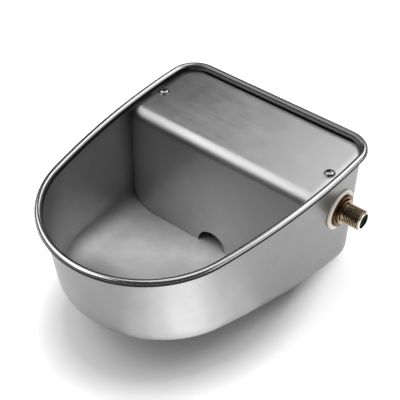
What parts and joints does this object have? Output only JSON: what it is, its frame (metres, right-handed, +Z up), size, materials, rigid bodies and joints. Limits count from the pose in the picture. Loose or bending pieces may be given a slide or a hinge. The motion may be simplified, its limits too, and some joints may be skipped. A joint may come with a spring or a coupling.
{
  "type": "livestock drinking bowl",
  "caption": "Wall-hung stainless drinking bowl with rolled rim, screwed-down float cover with a water notch, side inlet, lever float valve and float.",
  "frame": {"origin": "midway between the two wall bolt holes, on the outside of the back wall, 45 mm below the rim", "axes": "+X to the water inlet side, +Y out of the back towards the wall, +Z up, square to the level rim"},
  "size_m": [0.2618, 0.308, 0.1493],
  "materials": {
    "stainless_sheet": "satin, fine brushed",
    "stainless_screw": "polished",
    "brass": "turned, tarnished",
    "strainer_plastic": "moulded",
    "nylon_washer": "moulded, cream",
    "black_rubber": "moulded",
    "white_plastic": "moulded",
    "float_plastic": "moulded, black"
  },
  "bodies": {
    "bowl": {"bowl_shell": "stainless_sheet", "cover_bracket_left": "stainless_sheet", "cover_bracket_right": "stainless_sheet", "bracket_nut_left": "stainless_screw", "bracket_nut_right": "stainless_screw", "inlet_stub": "brass", "inlet_strainer": "strainer_plastic", "outer_washer": "nylon_washer", "inner_gasket": "black_rubber", "lock_nut": "brass", "valve_body": "brass", "seat_nozzle": "white_plastic", "valve_cap": "brass", "pivot_pin": "stainless_screw", "split_pin": "stainless_screw"},
    "cover": {"cover_plate": "stainless_sheet"},
    "screw_left": {"cover_screw_left": "stainless_screw"},
    "screw_right": {"cover_screw_right": "stainless_screw"},
    "float_arm": {"float_lever": "brass", "float_rod": "stainless_screw", "float_rod_nut": "stainless_screw", "float_upper_shell": "float_plastic", "float_lower_shell": "float_plastic"},
    "valve_piston": {"piston": "brass", "piston_washer": "black_rubber"}
  },
  "joints": [
    {"name": "cover_lift", "type": "slide", "parent": "bowl", "child": "cover", "axis": [0, 0, 1], "range_m": [0, 0.15]},
    {"name": "screw_left_out", "type": "slide", "parent": "cover", "child": "screw_left", "axis": [0, 0, 1], "range_m": [0, 0.014]},
    {"name": "screw_right_out", "type": "slide", "parent": "cover", "child": "screw_right", "axis": [0, 0, 1], "range_m": [0, 0.014]},
    {"name": "float_swing", "type": "hinge", "parent": "bowl", "child": "float_arm", "pos_m": [0.06796, -0.0478, -0.0256], "axis": [0, 1, 0], "range_deg": [0, 20]},
    {"name": "piston_slide", "type": "slide", "parent": "bowl", "child": "valve_piston", "axis": [1, 0, 0], "range_m": [0, 0.00594]}
  ],
  "couplings": [
    {"joint": "piston_slide", "follows": "float_swing", "m_per_rad": 0.017}
  ]
}
